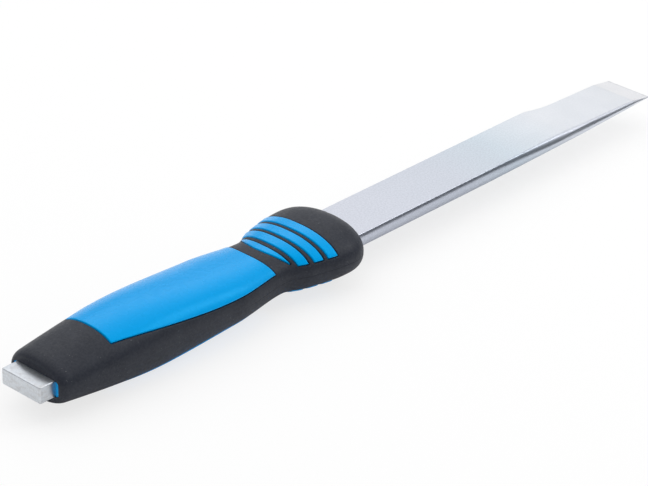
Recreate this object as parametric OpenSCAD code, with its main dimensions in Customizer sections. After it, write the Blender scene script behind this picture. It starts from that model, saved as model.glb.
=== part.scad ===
// Scraping chisel.
// One flat steel bar is the strike end, the tang and the blade. It runs right
// through a handle of two moulded parts: a hard core, whose raised panels and
// bands stand in windows, and the soft grip that surrounds it.
// X runs from the strike face to the cutting edge, Y across the blade and Z up.

/* [Steel bar] */
// Length of the whole tool, strike face to cutting edge
overall_len = 284; // [265:1:320]
// Width of the blade
blade_w = 20; // [17:0.5:24]
// Thickness of the blade behind its thinned front
blade_t = 4.7; // [4.2:0.1:5.2]
// How far the blade's long sides swell beyond its width
side_swell = 0.7; // [0.3:0.1:1]
// Width of the tang and the strike end
tang_w = 16.7; // [14:0.1:17.5]
// Thickness of the tang and the strike end
tang_t = 5.5; // [4.8:0.1:5.9]
// Chamfer on the edges of the tang and the strike end
tang_chamfer = 0.4; // [0.2:0.1:0.9]
// How far the strike end stands out behind the handle
strike_len = 5.8; // [4:0.1:14]
// How deep the blade's shoulders sit behind the tip of the handle's nose
seat_depth = 14; // [11:0.5:20]

/* [Blade front] */
// Length of the narrowed front of the blade
front_len = 49; // [40:1:70]
// Width taken off the left edge along the front
front_cut = 1.9; // [1:0.1:4]
// Radius of the hollow that runs out into the narrow front
hollow_r = 40; // [25:1:80]
// Radius of the shoulder where the full width ends
shoulder_r = 18; // [4:1:24]
// How far the upper face comes down along the front to the bevel
top_fall = 1.3; // [0.8:0.1:1.4]
// Length over which the underside rises to the cutting edge
back_len = 85; // [60:1:110]
// How far the underside rises to the cutting edge
back_rise = 1.9; // [1.5:0.1:2]
// Length of the bevel on the upper face
bevel_len = 8.5; // [5:0.5:12]
// Flat left along the cutting edge
edge_land = 0.2; // [0.1:0.05:0.4]

/* [Handle form] */
// Width at the butt
butt_w = 24; // [23.8:0.1:28]
// Height at the butt
butt_h = 14.2; // [12.5:0.1:17]
// How far the butt's rim is drawn in
rim_in = 1.7; // [0.8:0.1:1.8]
// Length over which the butt's rim is rounded
rim_len = 3; // [1:0.5:5]
// Distance of the belly from the butt
belly_x = 40.5; // [30:0.5:48]
// Width at the belly
belly_w = 29; // [26:0.1:33]
// Height at the belly
belly_h = 21.4; // [18:0.1:25]
// Distance of the waist from the butt
waist_x = 72; // [64:1:78]
// Width at the waist
waist_w = 28.8; // [25:0.1:30]
// Height at the waist
waist_h = 17.8; // [16:0.1:22]
// Distance of the neck from the butt
neck_x = 93.6; // [88:0.1:95]
// Width at the neck
neck_w = 24.1; // [22:0.1:27]
// Height at the neck
neck_h = 15.3; // [14:0.1:18]
// Distance of the guard's shoulder from the butt
flare_x = 102; // [99:0.5:105]
// Width at the guard's shoulder
flare_w = 30.5; // [28:0.1:34]
// Height at the guard's shoulder
flare_h = 16.8; // [14:0.1:19]
// Distance of the guard's widest place from the butt
guard_x = 117.2; // [113:0.1:121]
// Width at the guard's widest place
guard_w = 36.2; // [32:0.1:40]
// Height at the guard's widest place
guard_h = 18.2; // [16:0.1:22]
// Length of the rounded nose ahead of the guard
nose_len = 12; // [10:0.1:18]

/* [Core and grip] */
// Thickness of the soft grip over the core
grip_wall = 1.6; // [1.2:0.1:2.2]
// Thickness of the soft nose ahead of the core
nose_wall = 3.5; // [2:0.5:5]
// Width of the core's bare end at the butt
core_end_w = 20; // [18.5:0.1:20.1]
// Height of the core's bare end at the butt
core_end_h = 6.1; // [6:0.1:8]
// How far the core's bare end lies inside the butt
core_inset = 0.3; // [0.1:0.1:1.5]
// Open seam round each raised panel and band
seam = 0.3; // [0.15:0.05:0.5]
// How far the panels and bands stand proud of the grip
crown = 0.2; // [0:0.05:0.5]

/* [Panel] */
// Distance of the panel's rear edge from the butt
panel_x = 21.1; // [16:0.1:26]
// Length of the panel along the middle of the handle
panel_len = 65.6; // [58:0.1:68]
// How far the panel's front corners reach ahead of its middle
panel_bow = 2.7; // [0:0.1:4]
// Radius of the panel's rear corners
panel_r = 2.4; // [1:0.1:4]
// Height of the panel's side edge at its rear
panel_rear_z = 7.4; // [6:0.1:8]
// Height of the panel's side edge along the belly
panel_side_z = 3.8; // [2.5:0.1:4.5]
// Length over which the side edge comes down
panel_drop = 50; // [30:1:55]
// Height of the underside panel's side edge at its rear
under_rear_z = 8.4; // [7:0.1:8.6]
// Height of the underside panel's side edge along the belly
under_side_z = 6; // [4:0.1:6.4]

/* [Bands] */
// Distance of the first, pointed band from the butt
crescent_x = 91.8; // [91:0.1:93]
// Width of the pointed band at its middle
crescent_w = 3; // [2:0.1:3.4]
// How far the pointed band's ends bow forward
crescent_bow = 4.2; // [3.5:0.1:5]
// Distance of the second band from the butt
band_x = 96.9; // [96.4:0.1:98]
// Width of the second band
band_w = 3.75; // [3:0.05:4.2]
// Gap between one band and the next
band_gap = 1.6; // [1.3:0.1:2]
// How far the first band's rear edge bows forward; it is less on each band ahead
band_bow = 2.4; // [0:0.1:3]
// Share of that bow on the bands' front edges, which makes their ends narrower
band_taper = 0.35; // [0:0.05:1]
// Margin of grip left outside the ends of the bands
band_margin = 1.2; // [1:0.1:3]
// How much shorter the bands are at each end on the underside
under_inset = 2; // [0:0.1:2.4]

/* [Hidden] */

// Number of full bands ahead of the pointed one
bands = 3;
// Margin between the sides of the neck and the pointed band's ends
crescent_margin = 1.3;
// Length over which the core's bare end eases into its wall
core_ease = 14;
// Sharpness of the cross-sections: 2 is an ellipse, more is squarer
butt_pow = 2.25;
body_pow = 2.35;
guard_pow = 2.2;
core_end_pow = 5;
nose_pow = 2.4;
// Points round a section and spacing of the sections, outside and on the core
outer_pts = 40;
outer_step = 5;
core_pts = 28;
core_step = 8;
// Sections round the nose and the butt's rim, and points along an arc
nose_rings = 7;
rim_rings = 3;
arc_pts = 6;
// Reach of the cutting prisms beyond the handle
reach = guard_w;

butt_x = strike_len;
nose_x = butt_x + guard_x + nose_len;
seat_x = nose_x - seat_depth;
front_x = overall_len - front_len;
back_x = overall_len - back_len;
// Radius of the arc that the swell of the blade's sides follows
swell_r = (pow(blade_t / 2, 2) + pow(side_swell, 2)) / (2 * side_swell);
// Rows of distance, half width and half height that the handle's form follows
FORM = [
    [0, butt_w / 2, butt_h / 2],
    [belly_x, belly_w / 2, belly_h / 2],
    [waist_x, waist_w / 2, waist_h / 2],
    [neck_x, neck_w / 2, neck_h / 2],
    [flare_x, flare_w / 2, flare_h / 2],
    [guard_x, guard_w / 2, guard_h / 2],
];
LAST = len(FORM) - 1;

// Slope of the form's column c between row i and the next
function secant(i, c) = (FORM[i + 1][c] - FORM[i][c]) / (FORM[i + 1][0] - FORM[i][0]);
// Slope at row i, level where the form turns over
function slope(i, c) =
    i == 0 ? 1.5 * secant(0, c) :
    i == LAST ? 0 :
    secant(i - 1, c) * secant(i, c) <= 0 ? 0 :
    2 * secant(i - 1, c) * secant(i, c) / (secant(i - 1, c) + secant(i, c));
// Smooth curve through the rows of column c
function row_at(d, i = 0) = i == LAST - 1 || d < FORM[i + 1][0] ? i : row_at(d, i + 1);
function blend(a, b, sa, sb, h, t) =
    a * (2 * pow(t, 3) - 3 * pow(t, 2) + 1) + sa * h * (pow(t, 3) - 2 * pow(t, 2) + t)
    + b * (3 * pow(t, 2) - 2 * pow(t, 3)) + sb * h * (pow(t, 3) - pow(t, 2));
function form(d, c) =
    let (i = row_at(d), h = FORM[i + 1][0] - FORM[i][0], t = min(1, (d - FORM[i][0]) / h))
    blend(FORM[i][c], FORM[i + 1][c], slope(i, c), slope(i + 1, c), h, t);
function ease(t) = let (u = max(0, min(1, t))) u * u * (3 - 2 * u);
function mix(a, b, t) = a + (b - a) * t;

// Squareness of the outer sections along the handle
function outer_pow(d) =
    d < belly_x ? mix(butt_pow, body_pow, d / belly_x) :
    d < neck_x ? body_pow :
    mix(body_pow, guard_pow, min(1, (d - neck_x) / (guard_x - neck_x)));
// Drawing in of the sections towards the tip of a nose of length n
function nose(d, n) =
    d <= guard_x ? 1 : pow(max(0, 1 - pow((d - guard_x) / n, nose_pow)), 1 / nose_pow);
// Drawing in of the sections round the butt's rim
function rim(d) = rim_in * (1 - sqrt(1 - pow(max(0, 1 - d / rim_len), 2)));

// Half width, half height and squareness of the grip, g beyond its surface
function outer_size(d, g) = [
    (form(d, 1) + g) * nose(d, nose_len + g) - rim(d),
    (form(d, 2) + g) * nose(d, nose_len + g) - rim(d),
    outer_pow(d),
];
// The same for the core below the grip; its bare end eases into the wall
function core_size(d) =
    let (t = ease(d / core_ease), n = nose(d, nose_len - nose_wall))
    [
        mix(core_end_w / 2, (form(d, 1) - grip_wall) * n, t),
        mix(core_end_h / 2, (form(d, 2) - grip_wall) * n, t),
        mix(core_end_pow, outer_pow(d), t),
    ];

// Places of the sections, closer together at the rim, the flare and the nose
function stations(step, n) = concat(
    [for (i = [0:rim_rings - 1]) rim_len * (1 - cos(90 * i / rim_rings))],
    [for (d = [rim_len:step:neck_x - step / 2]) d],
    [for (d = [neck_x:step / 2:guard_x - step / 4]) d],
    [for (i = [0:nose_rings]) guard_x + n * sin(88 * i / nose_rings)]
);
// Power that keeps its sign, for the sections' corners
function signed_pow(v, p) = sign(v) * pow(abs(v), p);
function section(d, s, pts) = [
    for (k = [0:pts - 1])
        let (a = 360 * (k + 0.5) / pts)
        [butt_x + d, s.x * signed_pow(cos(a), 2 / s.z), s.y * signed_pow(sin(a), 2 / s.z)]
];

// Closed skin over a list of sections
module loft(rings) {
    n = len(rings[0]);
    last = len(rings) - 1;
    polyhedron(
        points = [for (r = rings) each r],
        faces = concat(
            [[for (k = [0:n - 1]) k]],
            [
                for (i = [0:last - 1], k = [0:n - 1])
                    let (a = i * n + k, b = i * n + (k + 1) % n)
                    each [[a, a + n, b], [b, a + n, b + n]]
            ],
            [[for (k = [n - 1:-1:0]) last * n + k]]
        ),
        convexity = 6
    );
}

// Outside of the grip, g beyond its surface
module outer_form(g = 0) {
    loft([
        for (d = stations(outer_step, nose_len + g)) section(d, outer_size(d, g), outer_pts)
    ]);
}

// Boundary between the core and the grip
module core_form() {
    loft([
        for (d = stations(core_step, nose_len - nose_wall)) section(d, core_size(d), core_pts)
    ]);
}

// Upright prism over a plan shape
module prism() {
    linear_extrude(height = 2 * reach, center = true) children();
}

// Prism across the tool over a shape seen from the side
module side_prism() {
    rotate([90, 0, 0]) linear_extrude(height = 2 * reach, center = true) children();
}

// Strip across the handle between two bowed edges
module bowed_strip(x0, bow0, x1, bow1, half) {
    ys = [for (i = [-arc_pts:arc_pts]) half * i / arc_pts];
    polygon(concat(
        [for (y = ys) [butt_x + x0 + bow0 * pow(y / half, 2), y]],
        [for (i = [len(ys) - 1:-1:0]) [butt_x + x1 + bow1 * pow(ys[i] / half, 2), ys[i]]]
    ));
}

// Plan of the guard, drawn in by the margin m
module guard_plan(m) {
    ds = [for (i = [0:3 * arc_pts]) mix(neck_x, guard_x + nose_len / 2, i / (3 * arc_pts))];
    polygon(concat(
        [for (d = ds) [butt_x + d, outer_size(d, 0)[0] - m]],
        [for (i = [len(ds) - 1:-1:0]) [butt_x + ds[i], m - outer_size(ds[i], 0)[0]]]
    ));
}

// Space of the panel, g larger all round, above a side edge that comes down from
// the height rear_z to side_z
module panel_zone(g, rear_z, side_z) {
    x0 = butt_x + panel_x - g;
    x1 = x0 + panel_len + panel_bow + 2 * g;
    half = neck_w / 2;
    intersection() {
        prism() difference() {
            hull() for (y = [-1, 1]) {
                translate([x0 + panel_r, y * (half - panel_r)]) circle(panel_r, $fn = 32);
                translate([x1, y * reach]) circle(panel_r, $fn = 32);
            }
            bowed_strip(panel_x + panel_len + g, panel_bow, guard_x, 0, half);
        }
        side_prism() polygon(concat(
            [
                for (i = [0:2 * arc_pts])
                    let (d = panel_drop * i / (2 * arc_pts))
                    [x0 + d, mix(rear_z, side_z, ease(d / panel_drop)) - g]
            ],
            [[x1, side_z - g], [x1, reach], [x0, reach]]
        ));
    }
}

// Space of the pointed band, g larger all round, that leaves the margin m at its ends
module crescent_zone(g, m) {
    half = neck_w / 2 - m + g;
    prism() bowed_strip(
        crescent_x - g, crescent_bow,
        crescent_x + crescent_w + g, crescent_bow - crescent_w, half
    );
}

// Place and bow of the rear edge of band i
function band_start(i) = band_x + i * (band_w + band_gap);
function bow_at(i) = band_bow * (bands - i) / bands;

// Space of the full bands, g larger all round, that leaves the margin m at their ends
module band_zones(g, m) {
    prism() intersection() {
        guard_plan(m - g);
        for (i = [0:bands - 1])
            bowed_strip(
                band_start(i) - g, bow_at(i),
                band_start(i) + band_w + g, band_taper * bow_at(i), guard_w / 2
            );
    }
}

// All raised places of the core, above and below
module raised_zones(g) {
    for (side = [0, 1]) mirror([0, 0, side]) {
        panel_zone(
            g,
            side == 0 ? panel_rear_z : under_rear_z,
            side == 0 ? panel_side_z : under_side_z
        );
        intersection() {
            translate([butt_x, -reach, 0]) cube([guard_x + nose_len, 2 * reach, reach]);
            union() {
                crescent_zone(g, crescent_margin + side * under_inset);
                band_zones(g, band_margin + side * under_inset);
            }
        }
    }
}

// Cross-section of a bar with chamfered edges
module chamfered_section(w, t, c) {
    polygon([
        for (s = [[1, 1], [-1, 1], [-1, -1], [1, -1]])
            let (a = [s.x * (w / 2 - c), s.y * t / 2], b = [s.x * w / 2, s.y * (t / 2 - c)])
            each s.x * s.y > 0 ? [b, a] : [a, b]
    ]);
}

// Turns a cross-section to face along the tool and runs it from x0 to x1
module run(x0, x1) {
    translate([x0, 0, 0]) rotate([90, 0, 90]) linear_extrude(height = x1 - x0) children();
}

// Tang and strike end, with every edge of the strike face broken
module tang() {
    intersection() {
        run(0, seat_x) chamfered_section(tang_w, tang_t, tang_chamfer);
        prism() polygon([
            [0, tang_w / 2 - tang_chamfer], [tang_chamfer, tang_w / 2],
            [seat_x, tang_w / 2], [seat_x, -tang_w / 2],
            [tang_chamfer, -tang_w / 2], [0, tang_chamfer - tang_w / 2],
        ]);
        side_prism() polygon([
            [0, tang_t / 2 - tang_chamfer], [tang_chamfer, tang_t / 2],
            [seat_x, tang_t / 2], [seat_x, -tang_t / 2],
            [tang_chamfer, -tang_t / 2], [0, tang_chamfer - tang_t / 2],
        ]);
    }
}

// Full-width bar that the blade is ground from: flat faces, crisp edges and sides
// that swell out
module blade_bar(x1) {
    run(seat_x, x1) square([blade_w, blade_t], center = true);
    intersection() {
        run(seat_x, x1) square([blade_w + 2 * side_swell, blade_t], center = true);
        run(seat_x, x1)
            for (y = [-1, 1])
                translate([y * (blade_w / 2 + side_swell - swell_r), 0]) circle(swell_r, $fn = 48);
    }
}

// Plan of the blade: a shoulder and a hollow lead to the narrow front
module blade_plan() {
    side_y = blade_w / 2 + side_swell;
    front_y = blade_w / 2 - front_cut;
    turn = acos(1 - (side_y - front_y) / (hollow_r + shoulder_r));
    run_out = (hollow_r + shoulder_r) * sin(turn);
    polygon(concat(
        [[front_x, -side_y], [seat_x, -side_y], [seat_x, side_y]],
        [
            for (i = [0:arc_pts])
                let (a = turn * i / arc_pts)
                [front_x + shoulder_r * sin(a), side_y - shoulder_r * (1 - cos(a))]
        ],
        [
            for (i = [arc_pts - 1:-1:0])
                let (a = turn * i / arc_pts)
                [front_x + run_out - hollow_r * sin(a), front_y + hollow_r * (1 - cos(a))]
        ],
        [[overall_len, front_y], [overall_len, -blade_w / 2]]
    ));
}

// Side of the blade: flat, then thinned from both faces, with the bevel on top
module blade_side() {
    edge_z = back_rise - blade_t / 2;
    polygon([
        [seat_x, -blade_t / 2], [back_x, -blade_t / 2], [overall_len, edge_z],
        [overall_len, edge_z + edge_land], [overall_len - bevel_len, blade_t / 2 - top_fall],
        [front_x, blade_t / 2], [seat_x, blade_t / 2],
    ]);
}

module blade() {
    color("silver") {
        tang();
        intersection() {
            blade_bar(overall_len);
            prism() blade_plan();
            side_prism() blade_side();
        }
    }
}

// What the steel takes out of the handle
module steel_space() {
    run(-reach, seat_x) chamfered_section(tang_w, tang_t, tang_chamfer);
    blade_bar(nose_x + reach);
}

module core() {
    color("deepskyblue") difference() {
        union() {
            core_form();
            intersection() {
                outer_form(crown);
                raised_zones(0);
            }
        }
        steel_space();
        translate([butt_x + core_inset - reach, -reach, -reach]) cube([reach, 2 * reach, 2 * reach]);
    }
}

module grip() {
    color([0.2, 0.2, 0.22]) difference() {
        outer_form();
        core_form();
        raised_zones(seam);
        steel_space();
    }
}

blade();
core();
grip();
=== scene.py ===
import math

import bpy
import numpy as np
from mathutils import Matrix, Vector
from mathutils.geometry import delaunay_2d_cdt


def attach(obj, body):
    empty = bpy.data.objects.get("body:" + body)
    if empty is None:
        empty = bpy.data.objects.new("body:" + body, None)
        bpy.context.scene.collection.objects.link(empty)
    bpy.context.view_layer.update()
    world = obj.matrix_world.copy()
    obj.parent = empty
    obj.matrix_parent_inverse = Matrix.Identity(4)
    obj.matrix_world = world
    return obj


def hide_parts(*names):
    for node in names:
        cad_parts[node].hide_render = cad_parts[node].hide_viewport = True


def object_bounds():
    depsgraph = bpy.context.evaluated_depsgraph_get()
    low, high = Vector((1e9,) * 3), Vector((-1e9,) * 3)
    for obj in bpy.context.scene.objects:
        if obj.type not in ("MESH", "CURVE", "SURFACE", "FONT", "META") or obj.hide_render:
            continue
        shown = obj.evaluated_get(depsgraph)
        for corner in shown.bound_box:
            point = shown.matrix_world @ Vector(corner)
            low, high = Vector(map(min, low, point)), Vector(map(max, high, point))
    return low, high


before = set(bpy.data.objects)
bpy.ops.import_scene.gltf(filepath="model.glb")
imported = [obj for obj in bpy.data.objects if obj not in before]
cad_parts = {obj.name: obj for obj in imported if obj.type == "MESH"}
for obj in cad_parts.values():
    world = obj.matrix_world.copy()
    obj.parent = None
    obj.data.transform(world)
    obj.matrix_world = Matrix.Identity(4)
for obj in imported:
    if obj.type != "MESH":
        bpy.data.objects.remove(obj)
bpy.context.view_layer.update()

MM = 0.001

# Sizes in millimetres, as in the part's source
BUTT_X = 5.8
SEAT_X = 121.0
OVERALL_LEN = 284.0
BLADE_W, BLADE_T, SIDE_SWELL = 20.0, 4.7, 0.7
TANG_W, TANG_T, TANG_CHAMFER = 16.7, 5.5, 0.4
SWELL_R = (BLADE_T**2 / 4 + SIDE_SWELL**2) / (2 * SIDE_SWELL)
FRONT_X, BACK_X, BEVEL_X = 235.0, 199.0, 275.5
FRONT_CUT, HOLLOW_R, SHOULDER_R = 1.9, 40.0, 18.0
TOP_FALL, BACK_RISE, EDGE_LAND = 1.3, 1.9, 0.2

# Distance from the butt, half width and half height of the handle
BELLY_X, WAIST_X, NECK_X, FLARE_X, GUARD_X = 40.5, 72.0, 93.6, 102.0, 117.2
NECK_W, GUARD_W, GUARD_H = 24.1, 36.2, 18.2
FORM = np.array([
    (0.0, 12.0, 7.1),
    (BELLY_X, 14.5, 10.7),
    (WAIST_X, 14.4, 8.9),
    (NECK_X, NECK_W / 2, 7.65),
    (FLARE_X, 15.25, 8.4),
    (GUARD_X, GUARD_W / 2, GUARD_H / 2),
])
NOSE_LEN, NOSE_WALL, NOSE_POW = 12.0, 3.5, 2.4
RIM_IN, RIM_LEN = 1.7, 3.0
# Slope of the form at the butt, as a multiple of the first span's
BUTT_SLOPE = 1.5
BUTT_POW, BODY_POW, GUARD_POW = 2.25, 2.35, 2.2
GRIP_WALL = 1.6
# The core's bare end, squarer and a little smaller than its solid's, so that the tang's
# upper and lower faces lie nearly level with it
CORE_END_W, CORE_END_H, CORE_END_POW = 19.6, 5.72, 7.0
CORE_INSET, CORE_EASE = 0.3, 14.0
SEAM, CROWN = 0.3, 0.2

PANEL_X, PANEL_LEN, PANEL_BOW, PANEL_DROP = 21.1, 65.6, 2.7, 50.0
CRESCENT_X, CRESCENT_W, CRESCENT_BOW, CRESCENT_MARGIN = 91.8, 3.0, 4.2, 1.3
BANDS, BAND_X, BAND_W, BAND_GAP = 3, 96.9, 3.75, 1.6
BAND_BOW, BAND_TAPER, BAND_MARGIN = 2.4, 0.35, 1.2
# Heights of the panel's side edges at its rear and along the belly, above and below; the
# underside's panel is narrower, and its bands are shorter by the inset at each end
PANEL_EDGES, UNDER_EDGES = (7.4, 3.8), (8.4, 6.0)
UNDER_INSET = 2.0

# The sheets are laid out flat: U along the handle, V round it at this mean radius
MEAN_R = 13.0
# Lengths along U of the rounded rim and of the nose
RIM_U, NOSE_U = 4.0, 20.0
GUARD_U = RIM_U + GUARD_X - RIM_LEN
# Spacing of the islands' inner points, along the handle and round it
GRID_U, GRID_V = 1.0, 0.55
# Step along U and round it over which a sheet's slope is measured
STEP = 1e-3

# Rings round each window of the grip: distance from the island, depth and lean
GRIP_RINGS = [(SEAM, 0.30, 75), (SEAM + 0.06, 0.13, 50), (SEAM + 0.18, 0.03, 18), (SEAM + 0.38, 0.0, 0)]
# Rings inside each island's edge: distance inside, height over the grip and lean
ISLAND_RINGS = [
    (0.0, CROWN - 0.36, 75),
    (0.06, CROWN - 0.17, 52),
    (0.18, CROWN - 0.05, 25),
    (0.42, CROWN, 0),
]

# Points along the panel's sides, rear and front, and along a band's long edges and ends
PANEL_SIDE_PTS, PANEL_REAR_PTS, PANEL_FRONT_PTS = 150, 60, 70
BAND_EDGE_PTS, BAND_END_PTS = 80, 14
# How much an edge's points crowd towards its ends, from 0 to 1
CROWDING = 0.85
# Rounds in which a corner of an outline settles on its place
CORNER_ROUNDS = 30
# Least turn of an outline, in radians, at which a ring takes more points, and their step
CORNER_TURN, CORNER_STEP = 0.1, 0.3
# Share of its distance from the outline that a ring's point has to keep
RING_KEEP = 0.97
# Gap between a ring and the sheet's own points
RING_GAP = 0.5
# Distance under which flat points count as one, decimals of a millimetre to which a piece's
# points in one place agree, and a length too small to divide by
SAME_PLACE, JOIN_DIGITS, TINY = 1e-7, 4, 1e-12

# Turn along the core's nose at which it is cut off square, wider than the steel
CORE_TURN = math.radians(55)
# Near the butt the core's points turn by this ratio, to lie in line with the rim's
CORE_END_SHIFT = (FORM[0, 2] - RIM_IN) / (FORM[0, 1] - RIM_IN) * CORE_END_W / CORE_END_H

# Half width of the parting line's groove as an angle round the handle, and its depth
GROOVE_TURN = math.radians(1.7)
GROOVE_SINK = 0.12
# Share of its depth that it keeps behind the waist
GROOVE_FAINT = 0.3
# Power of its section, lean of its sides in degrees, and share of it that is a level floor
GROOVE_POW, GROOVE_LEAN, GROOVE_FLOOR = 1.5, 45, 0.01
# Length along U over which it fades out at the nose
GROOVE_FADE = NOSE_U / 3
# Angle round the guard at which the grip meets the steel's edge
EDGE_ANGLE = math.degrees(math.atan2(BLADE_T / GUARD_H, BLADE_W / GUARD_W))
# Angles round the rows at the rim and the nose, closer towards the sides
SIDE_ANGLES = np.radians(np.concatenate([
    [0, 0.55, 1.7],
    np.arange(3, 24.1, 1.5),
    [EDGE_ANGLE],
    np.arange(26, 36.1),
    np.linspace(40, 85, 12),
]))
ANGLES = np.concatenate([SIDE_ANGLES, [math.pi / 2], (math.pi - SIDE_ANGLES)[::-1]])
# Points in a row, places of the nose's rows and count of the rim's
ROW = len(ANGLES)
NOSE_ROWS = GUARD_U + NOSE_U * np.linspace(0, 1, 19)
RIM_COUNT = 9
# Places along the handle where the sheets' rows lie, and angles of their inner points
SIDE_ROWS = np.linspace(RIM_U, GUARD_U, 110)
FINE_ANGLES = np.concatenate([ANGLES[1:3], np.linspace(0, math.pi, 36)[1:-1], ANGLES[-3:-1]])
COARSE_ANGLES = ANGLES[3:-3:3]
# Place along U at which the core's bare end starts
INSET_U = RIM_U * math.acos(1 - CORE_INSET / RIM_LEN) * 2 / math.pi

BACKWARD, FORWARD = (-1.0, 0.0, 0.0), (1.0, 0.0, 0.0)
# Where the core's nose ends, cut off square
CORE_FRONT = BUTT_X + GUARD_X + (NOSE_LEN - NOSE_WALL) * math.sin(CORE_TURN)
# Length over which the core's slot widens from the tang to the blade
SLOT_EASE = 3.0

# Points round an eased edge of the steel and down the side between two of them
EDGE_TURNS = np.radians(np.linspace(0, 90, 6))
SIDE_SHARES = np.linspace(0, 1, 10)[1:-1]
FACE_SHARES = np.linspace(0, 1, 6)[1:-1]

# Radius on the blade's edges, and on its upper near edge at the ground front
CRISP_R, WORN_R = 0.12, 1.0
WORN_FROM, WORN_LEN = 185.0, 70.0
# Share of the blade's half thickness that an edge's radius may take
EDGE_MOST = 0.8
# Slope worn on the near side of the front, down to this share of its height, and the
# softness of the bend where it ends
WORN_SLOPE, WORN_SHARE, WORN_BEND = 0.45, 0.35, 0.15
# Rows of the steel's skin: places along the tang, then spans of the blade and their counts
TANG_ROWS = (1.2, 3, BUTT_X, 40, 80, SEAT_X)
HOLLOW_END, BEVEL_EASE = 254.0, 0.2
BLADE_ROWS = [
    (SEAT_X, BACK_X, 14),
    (BACK_X, FRONT_X, 14),
    (FRONT_X, HOLLOW_END, 34),
    (HOLLOW_END, BEVEL_X - BEVEL_EASE, 12),
    (BEVEL_X + BEVEL_EASE, OVERALL_LEN, 10),
]


def slopes(column):
    """Slopes of the handle's curve at the rows of its form."""
    secant = np.diff(FORM[:, column]) / np.diff(FORM[:, 0])
    before, after = secant[:-1], secant[1:]
    turns = before * after <= 0
    total = np.where(turns, 1.0, before + after)
    inner = np.where(turns, 0.0, 2 * before * after / total)
    return np.concatenate([[BUTT_SLOPE * secant[0]], inner, [0.0]])


def form(d, column):
    """Smooth curve through the rows of the handle's form."""
    row = np.clip(np.searchsorted(FORM[:, 0], d, side="right") - 1, 0, len(FORM) - 2)
    h = FORM[row + 1, 0] - FORM[row, 0]
    t = np.minimum(1, (d - FORM[row, 0]) / h)
    slope = slopes(column)
    return (
        FORM[row, column] * (2 * t**3 - 3 * t**2 + 1)
        + slope[row] * h * (t**3 - 2 * t**2 + t)
        + FORM[row + 1, column] * (3 * t**2 - 2 * t**3)
        + slope[row + 1] * h * (t**3 - t**2)
    )


def mix(a, b, t):
    """Value at a share of the way from one to the other."""
    return a + (b - a) * t


def ease(t):
    """Share that starts and ends level."""
    u = np.clip(t, 0, 1)
    return u * u * (3 - 2 * u)


def outer_pow(d):
    """Squareness of the grip's sections: 2 is an ellipse, more is squarer."""
    return np.where(
        d < BELLY_X,
        mix(BUTT_POW, BODY_POW, d / BELLY_X),
        mix(BODY_POW, GUARD_POW, np.clip((d - NECK_X) / (GUARD_X - NECK_X), 0, 1)),
    )


def nose(d, length):
    """Share of its full size that a section keeps towards the tip of the nose."""
    t = np.clip((d - GUARD_X) / length, 0, 1)
    return (1 - t**NOSE_POW) ** (1 / NOSE_POW)


def rim(d):
    """Drawing in of the sections round the butt's rim."""
    return RIM_IN * (1 - np.sqrt(1 - np.clip(1 - d / RIM_LEN, 0, 1) ** 2))


def outer_size(d):
    """Half width, half height and squareness of the grip's sections."""
    n = nose(d, NOSE_LEN)
    return form(d, 1) * n - rim(d), form(d, 2) * n - rim(d), outer_pow(d)


def core_size(d):
    """The same for the boundary between the core and the grip."""
    t = ease(d / CORE_EASE)
    n = nose(d, NOSE_LEN - NOSE_WALL)
    return (
        mix(CORE_END_W / 2, (form(d, 1) - GRIP_WALL) * n, t),
        mix(CORE_END_H / 2, (form(d, 2) - GRIP_WALL) * n, t),
        mix(CORE_END_POW, outer_pow(d), t),
    )


def distance(u, nose_len, nose_turn):
    """Distance from the butt at U, which runs along the rim's and the nose's arcs."""
    rim_turn = np.clip(u / RIM_U, 0, 1) * math.pi / 2
    nose_share = np.clip((u - GUARD_U) / NOSE_U, 0, 1)
    along_rim = RIM_LEN * (1 - np.cos(rim_turn))
    along_nose = GUARD_X + nose_len * np.sin(nose_share * nose_turn)
    return np.where(u < RIM_U, along_rim, np.where(u > GUARD_U, along_nose, u - RIM_U + RIM_LEN))


def blade_reach(angle):
    """Distance from the middle of the blade's section to its outline in a direction."""
    c, s = np.abs(np.cos(angle)), np.abs(np.sin(angle))
    flat = BLADE_T / 2 / np.maximum(s, TINY)
    middle = BLADE_W / 2 + SIDE_SWELL - SWELL_R
    side = middle * c + np.sqrt(np.maximum(0, SWELL_R**2 - (middle * s) ** 2))
    return np.where(flat * c <= BLADE_W / 2, flat, side)


def tang_reach(angle):
    """The same for the tang's section."""
    c, s = np.abs(np.cos(angle)), np.abs(np.sin(angle))
    return np.minimum(TANG_W / 2 / np.maximum(c, TINY), TANG_T / 2 / np.maximum(s, TINY))


def nose_turn_at(theta):
    """Turn along the nose's arc at which the grip meets the steel, for each angle round it."""
    w, h, p = outer_size(np.array(GUARD_X))
    rho = (np.abs(np.cos(theta)) ** p + np.abs(np.sin(theta)) ** p) ** (-1 / p)
    y, z = w * rho * np.cos(theta), h * rho * np.sin(theta)
    share = blade_reach(np.arctan2(z, y)) / np.hypot(y, z)
    return np.arcsin((1 - share**NOSE_POW) ** (1 / NOSE_POW))


def section_point(size, d, theta):
    """Point at an angle round the section that a size function gives at d."""
    w, h, p = size(d)
    c, s = np.cos(theta), np.sin(theta)
    rho = (np.abs(c) ** p + np.abs(s) ** p) ** (-1 / p)
    return np.stack([BUTT_X + d, w * rho * c, h * rho * s], -1)


def outer_at(u, theta):
    """Point of the grip's surface."""
    return section_point(outer_size, distance(u, NOSE_LEN, nose_turn_at(theta)), theta)


def core_at(u, theta):
    """Point of the boundary between the core and the grip."""
    shift = mix(CORE_END_SHIFT, 1, ease(u / CORE_EASE))
    turned = np.arctan2(shift * np.sin(theta), np.cos(theta))
    return section_point(core_size, distance(u, NOSE_LEN - NOSE_WALL, CORE_TURN), turned)


def unit(v):
    """The same directions with length 1."""
    return v / np.maximum(np.linalg.norm(v, axis=-1, keepdims=True), TINY)


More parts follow.
